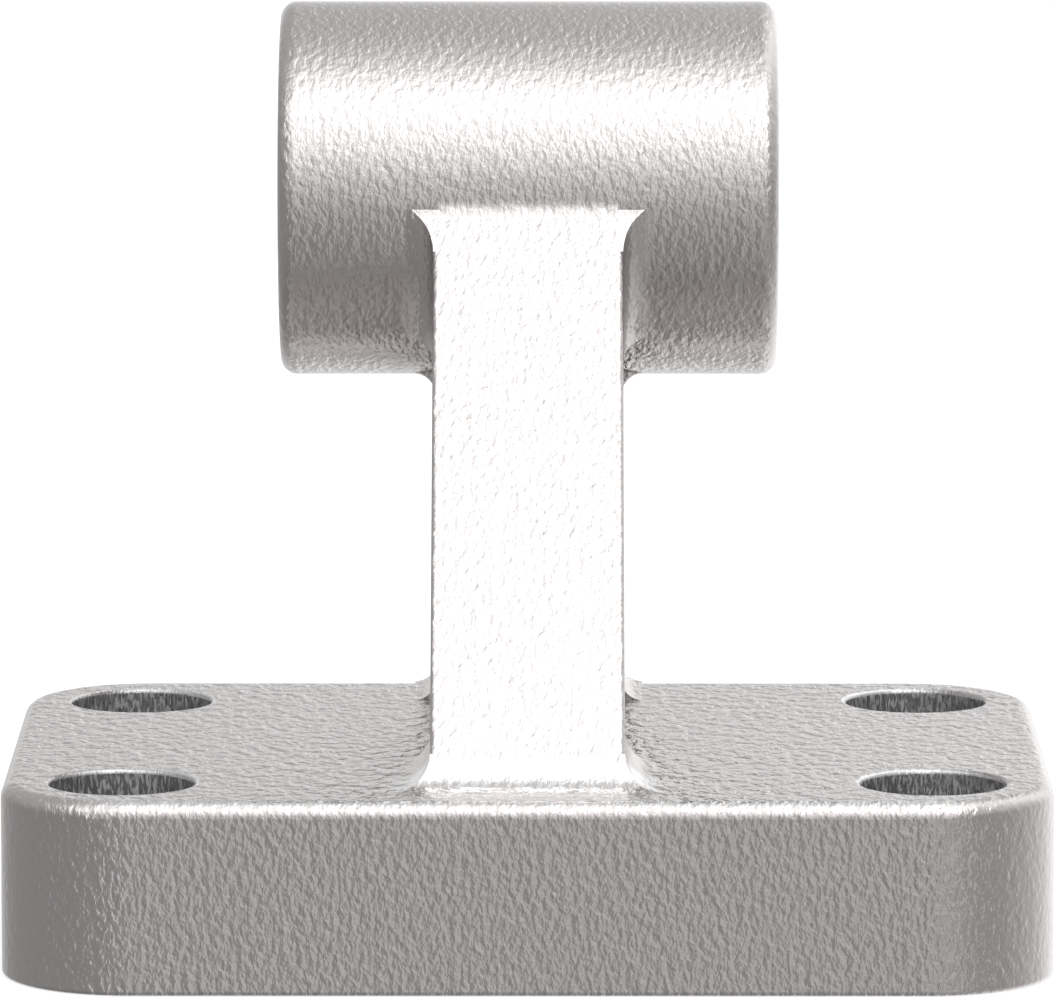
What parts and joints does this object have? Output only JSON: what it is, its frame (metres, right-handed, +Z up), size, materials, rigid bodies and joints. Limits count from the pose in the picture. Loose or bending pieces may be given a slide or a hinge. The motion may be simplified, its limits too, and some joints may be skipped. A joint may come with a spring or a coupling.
{
  "type": "clevis foot",
  "caption": "Right-angle clevis foot: a cast steel base with screw holes, a leaning pocketed column and a round eye with a pin bore.",
  "frame": {"origin": "centre of the base's underside, midway between the four screw holes", "axes": "+X along the pin's axis, +Y from the sloping front of the column towards the eye, +Z up from the underside of the base"},
  "size_m": [0.065, 0.0525, 0.057],
  "materials": {
    "cast_steel": "bare investment-cast stainless steel, fine orange-peel grain, satin; warm light grey"
  },
  "bodies": {
    "root": {"clevis_foot": "cast_steel"}
  },
  "joints": []
}
